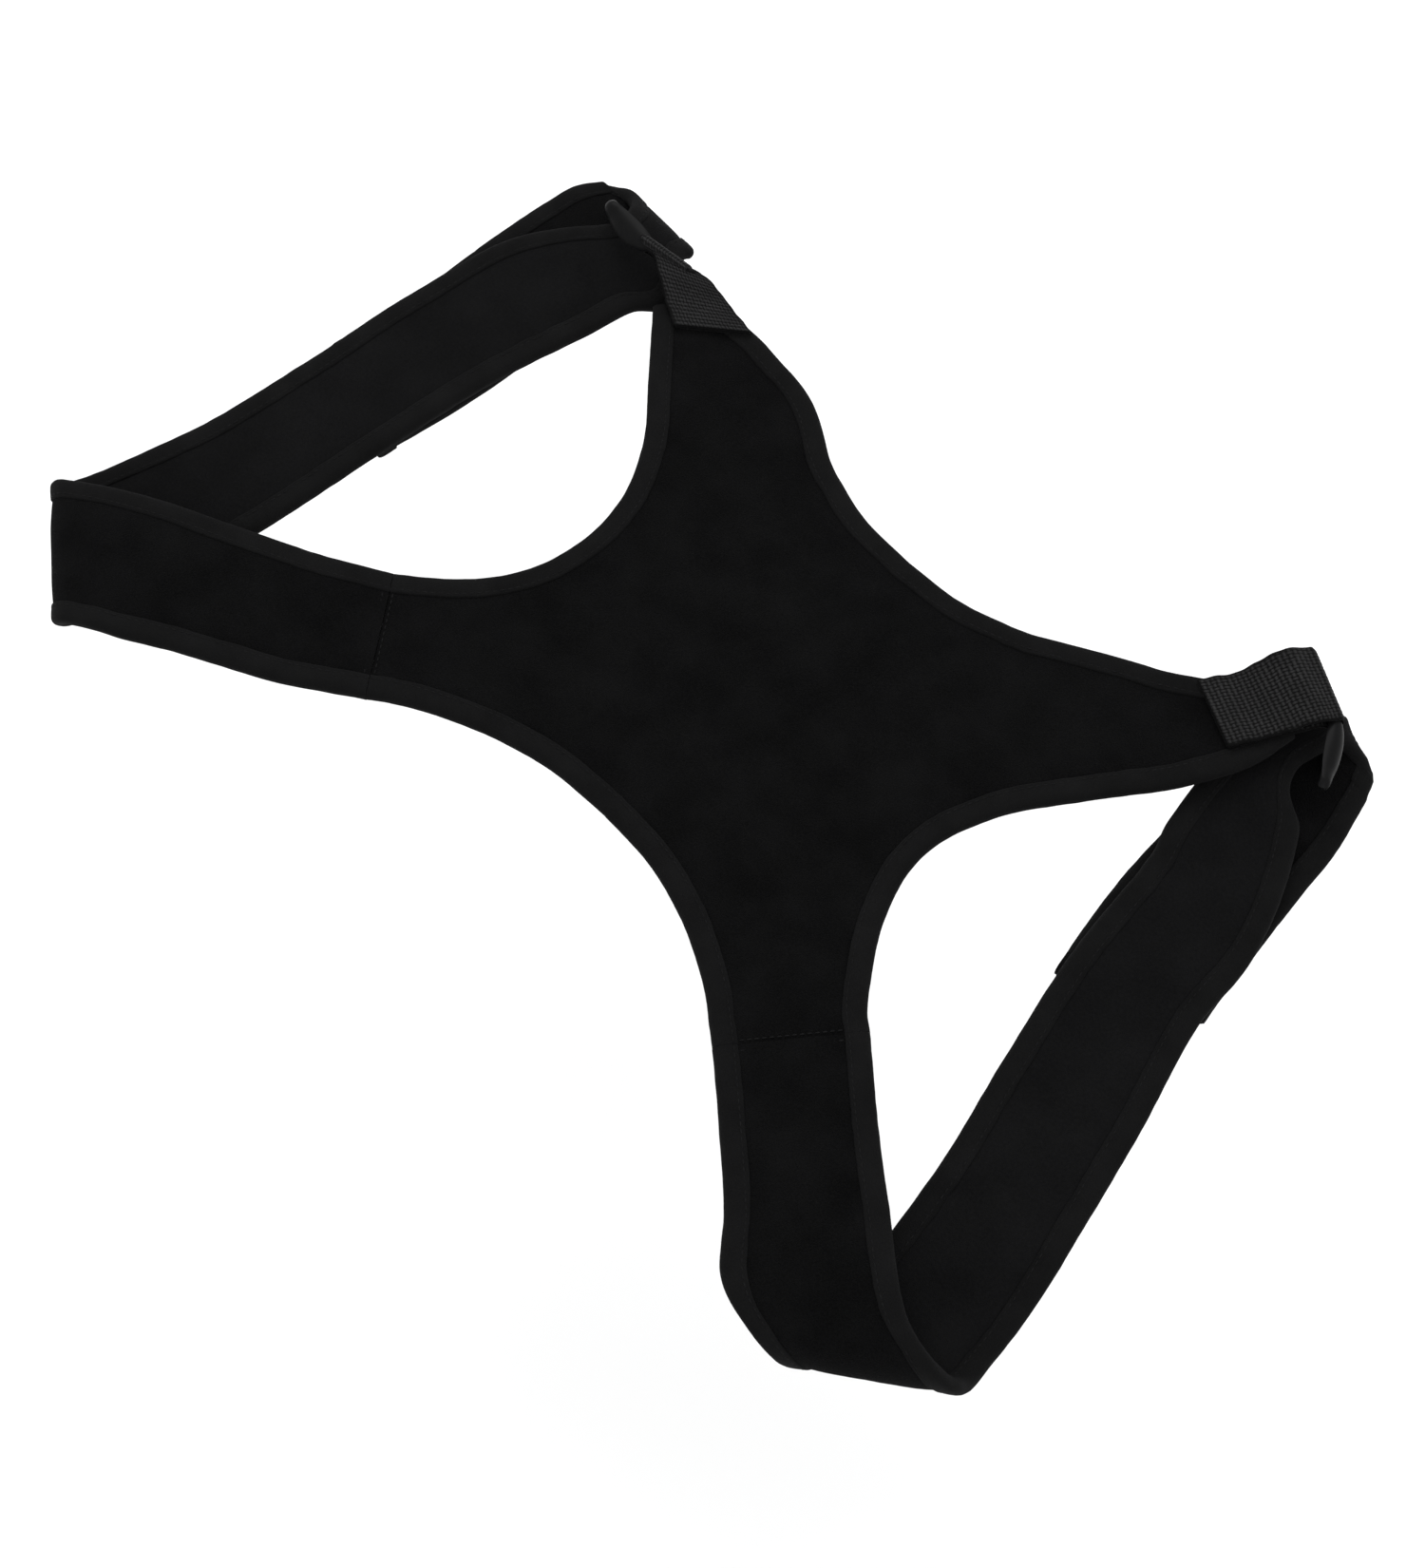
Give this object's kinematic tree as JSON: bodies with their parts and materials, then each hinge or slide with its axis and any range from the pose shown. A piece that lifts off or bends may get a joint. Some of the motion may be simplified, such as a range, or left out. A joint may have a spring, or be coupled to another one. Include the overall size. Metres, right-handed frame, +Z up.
{
  "type": "padded harness breastplate",
  "caption": "Soft padded X-shaped body harness with bound edges; long straps turn at the shoulder, pass through rings on elastic webbing and fasten back on themselves.",
  "frame": {"origin": "on the table, under the middle of the whole outline as the harness lies", "axes": "+Z up out of the outer face as it lies on the table, +Y along the spine line from the collar side to the waist side, +X towards the wearer's left; the spine line is the plane X = 8.9 mm"},
  "size_m": [0.519, 0.3547, 0.0356],
  "materials": {
    "pile_cloth": "matte brushed pile",
    "foam": "matte foam",
    "lining_cloth": "matte smooth knit",
    "binding_tape": "matte stretch tape",
    "thread": "satin thread",
    "elastic_webbing": "matte coarse weave",
    "ring_plastic": "semi-gloss moulded",
    "hook_tape": "matte hooks"
  },
  "bodies": {
    "panel": {"panel_cover": "pile_cloth", "panel_core": "foam", "panel_lining": "lining_cloth", "waist_binding": "binding_tape", "collar_binding": "binding_tape"},
    "left_wing": {"left_wing_cover": "pile_cloth", "left_wing_core": "foam", "left_wing_lining": "lining_cloth", "left_waist_binding": "binding_tape", "left_collar_binding": "binding_tape", "left_armhole_binding": "binding_tape", "left_strap_cover": "pile_cloth", "left_strap_core": "foam", "left_strap_lining": "lining_cloth", "left_strap_inner_binding": "binding_tape", "left_strap_outer_binding": "binding_tape", "left_seam_stitches": "thread", "left_webbing": "elastic_webbing", "left_webbing_stitches": "thread"},
    "left_ring": {"left_ring": "ring_plastic"},
    "left_tail": {"left_tail_cover": "pile_cloth", "left_tail_core": "foam", "left_tail_lining": "lining_cloth", "left_tail_binding": "binding_tape"},
    "left_tab": {"left_tab_cover": "pile_cloth", "left_tab_core": "foam", "left_tab_lining": "lining_cloth", "left_tab_binding": "binding_tape", "left_hook_patch": "hook_tape"},
    "right_wing": {"right_wing_cover": "pile_cloth", "right_wing_core": "foam", "right_wing_lining": "lining_cloth", "right_waist_binding": "binding_tape", "right_collar_binding": "binding_tape", "right_armhole_binding": "binding_tape", "right_strap_cover": "pile_cloth", "right_strap_core": "foam", "right_strap_lining": "lining_cloth", "right_strap_inner_binding": "binding_tape", "right_strap_outer_binding": "binding_tape", "right_seam_stitches": "thread", "right_webbing": "elastic_webbing", "right_webbing_stitches": "thread"},
    "right_ring": {"right_ring": "ring_plastic"},
    "right_tail": {"right_tail_cover": "pile_cloth", "right_tail_core": "foam", "right_tail_lining": "lining_cloth", "right_tail_binding": "binding_tape"},
    "right_tab": {"right_tab_cover": "pile_cloth", "right_tab_core": "foam", "right_tab_lining": "lining_cloth", "right_tab_binding": "binding_tape", "right_hook_patch": "hook_tape"}
  },
  "joints": [
    {"name": "left_wing_fold", "type": "hinge", "parent": "panel", "child": "left_wing", "pos_m": [0.0909, -0.0294, 0.024], "axis": [0, -1, 0], "range_deg": [-90, 90]},
    {"name": "right_wing_fold", "type": "hinge", "parent": "panel", "child": "right_wing", "pos_m": [-0.0731, -0.0294, 0.024], "axis": [0, 1, 0], "range_deg": [-90, 90]},
    {"name": "left_ring_swing", "type": "hinge", "parent": "left_wing", "child": "left_ring", "pos_m": [0.1684, 0.1511, 0.029], "axis": [0.7431, -0.6691, 0], "range_deg": [-5, 3]},
    {"name": "right_ring_swing", "type": "hinge", "parent": "right_wing", "child": "right_ring", "pos_m": [-0.1731, 0.1179, 0.029], "axis": [0.9976, -0.0698, 0], "range_deg": [-5, 5]},
    {"name": "left_tail_slide", "type": "slide", "parent": "left_wing", "child": "left_tail", "axis": [0.1226, -0.9925, 0], "range_m": [-0.006, 0.024]},
    {"name": "right_tail_slide", "type": "slide", "parent": "right_wing", "child": "right_tail", "axis": [-0.1, -0.995, 0], "range_m": [-0.006, 0.024]},
    {"name": "left_tab_peel", "type": "hinge", "parent": "left_tail", "child": "left_tab", "pos_m": [0.1869, 0.0506, 0.00295], "axis": [0.9703, 0.2419, 0], "range_deg": [0, 75]},
    {"name": "right_tab_peel", "type": "hinge", "parent": "right_tail", "child": "right_tab", "pos_m": [-0.2081, 0.0366, 0.00295], "axis": [0.9945, -0.1045, 0], "range_deg": [0, 75]}
  ]
}
